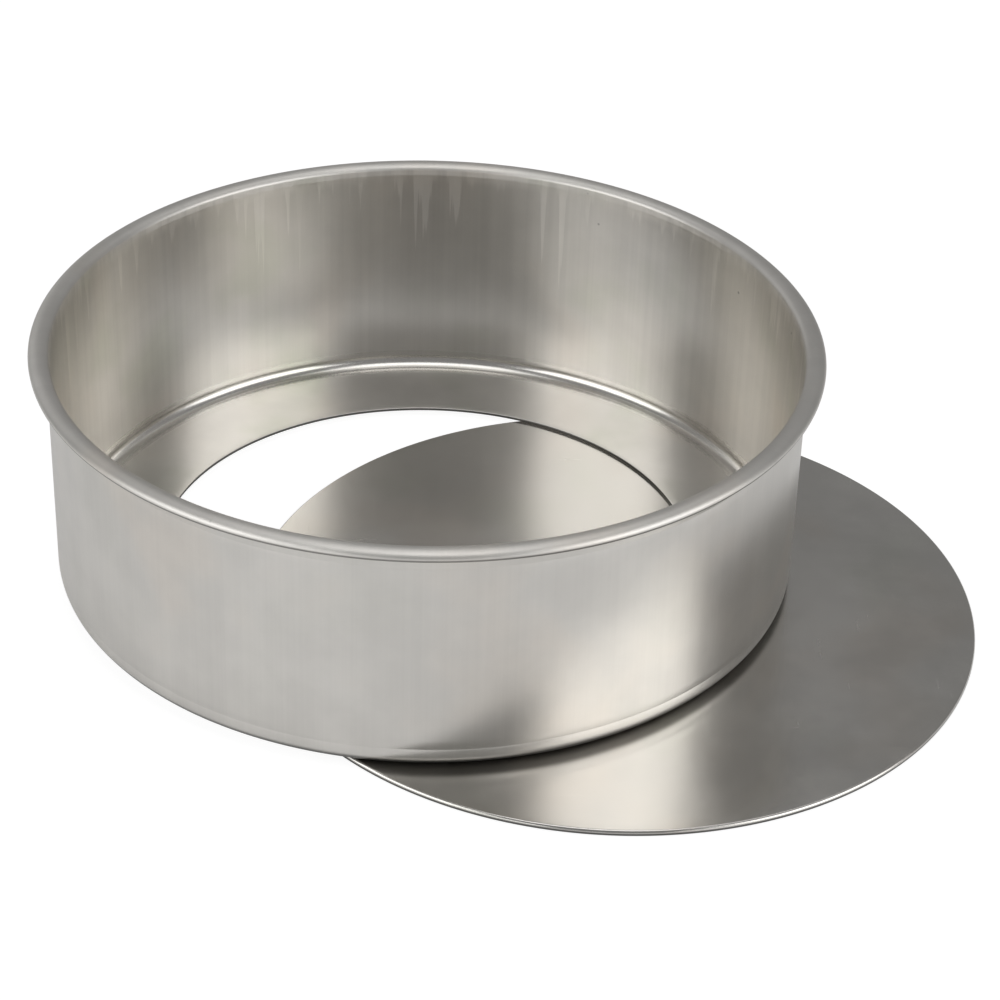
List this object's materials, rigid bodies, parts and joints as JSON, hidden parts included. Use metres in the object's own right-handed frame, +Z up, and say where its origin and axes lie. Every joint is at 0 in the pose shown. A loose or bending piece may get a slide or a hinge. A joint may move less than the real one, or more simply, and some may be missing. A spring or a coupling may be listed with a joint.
{
  "type": "round loose-base cake tin",
  "caption": "Round aluminium cake tin with a rolled rim and an inward ledge, standing partly on its loose flat base, which drops in to lie on the ledge.",
  "frame": {"origin": "on the surface that the loose base lies on, in the middle of the box around the tin and its base", "axes": "+Z up along the tin's axis; +X to the right and +Y away from the viewer in the pictured layout, with the loose base out to the right and front of the tin"},
  "size_m": [0.2906, 0.263, 0.0792],
  "materials": {
    "tin_aluminium": "satin spun aluminium with faint upright streaks on the wall",
    "base_aluminium": "smooth satin rolled sheet with a few light smudges"
  },
  "bodies": {
    "base": {"loose_base": "base_aluminium"},
    "tin": {"tin_body": "tin_aluminium"}
  },
  "joints": [
    {"name": "tin_lift", "type": "slide", "parent": "base", "child": "tin", "axis": [0, 0, 1], "range_m": [0, 0.1]}
  ]
}
